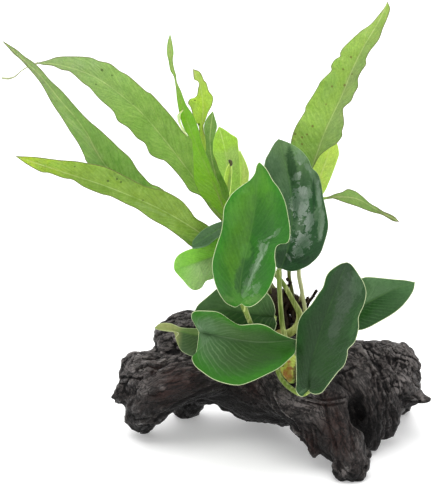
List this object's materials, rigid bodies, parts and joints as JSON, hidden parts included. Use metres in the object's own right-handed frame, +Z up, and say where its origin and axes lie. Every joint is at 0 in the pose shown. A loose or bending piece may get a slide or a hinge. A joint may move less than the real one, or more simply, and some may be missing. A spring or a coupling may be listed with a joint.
{
  "type": "anubias and java fern on driftwood",
  "caption": "Aquarium hardscape with live plants: broad-leaved anubias and long-fronded java fern, each growing from its own rhizome, on a dark arched piece of driftwood.",
  "frame": {"origin": "middle of the bounding box across and front to back, at the height of the driftwood's feet", "axes": "+Z up, +X to the right of someone who faces the plants, +Y away from them, towards the back"},
  "size_m": [0.2123, 0.1068, 0.2183],
  "materials": {
    "driftwood": "matte",
    "anubias_leaf": "satin",
    "anubias_stem": "satin",
    "anubias_rhizome": "matte",
    "fern_frond": "satin",
    "fern_rhizome": "matte"
  },
  "bodies": {
    "root": {"driftwood_trunk": "driftwood", "driftwood_left_root": "driftwood", "driftwood_front_leg": "driftwood", "driftwood_burl": "driftwood", "anubias_rhizome": "anubias_rhizome", "anubias_leaf_front": "anubias_leaf", "anubias_leaf_upper_right": "anubias_leaf", "anubias_leaf_lower_left": "anubias_leaf", "anubias_leaf_lower_right": "anubias_leaf", "anubias_leaf_right": "anubias_leaf", "anubias_leaf_left": "anubias_leaf", "anubias_leaf_small": "anubias_leaf", "anubias_leaf_middle_left": "anubias_leaf", "anubias_leaf_far_left": "anubias_leaf", "anubias_stem_front": "anubias_stem", "anubias_stem_upper_right": "anubias_stem", "anubias_stem_lower_left": "anubias_stem", "anubias_stem_lower_right": "anubias_stem", "anubias_stem_right": "anubias_stem", "anubias_stem_left": "anubias_stem", "anubias_stem_small": "anubias_stem", "anubias_stem_middle_left": "anubias_stem", "anubias_stem_far_left": "anubias_stem", "fern_rhizome": "fern_rhizome", "fern_frond_far_left": "fern_frond", "fern_frond_low_left": "fern_frond", "fern_frond_upper_left": "fern_frond", "fern_frond_twisted": "fern_frond", "fern_frond_torn": "fern_frond", "fern_frond_dark_point": "fern_frond", "fern_frond_round_back": "fern_frond", "fern_frond_young_spear": "fern_frond", "fern_frond_pale_back": "fern_frond", "fern_frond_tall_right": "fern_frond", "fern_frond_bright_right": "fern_frond", "fern_frond_drooping_right": "fern_frond"}
  },
  "joints": []
}
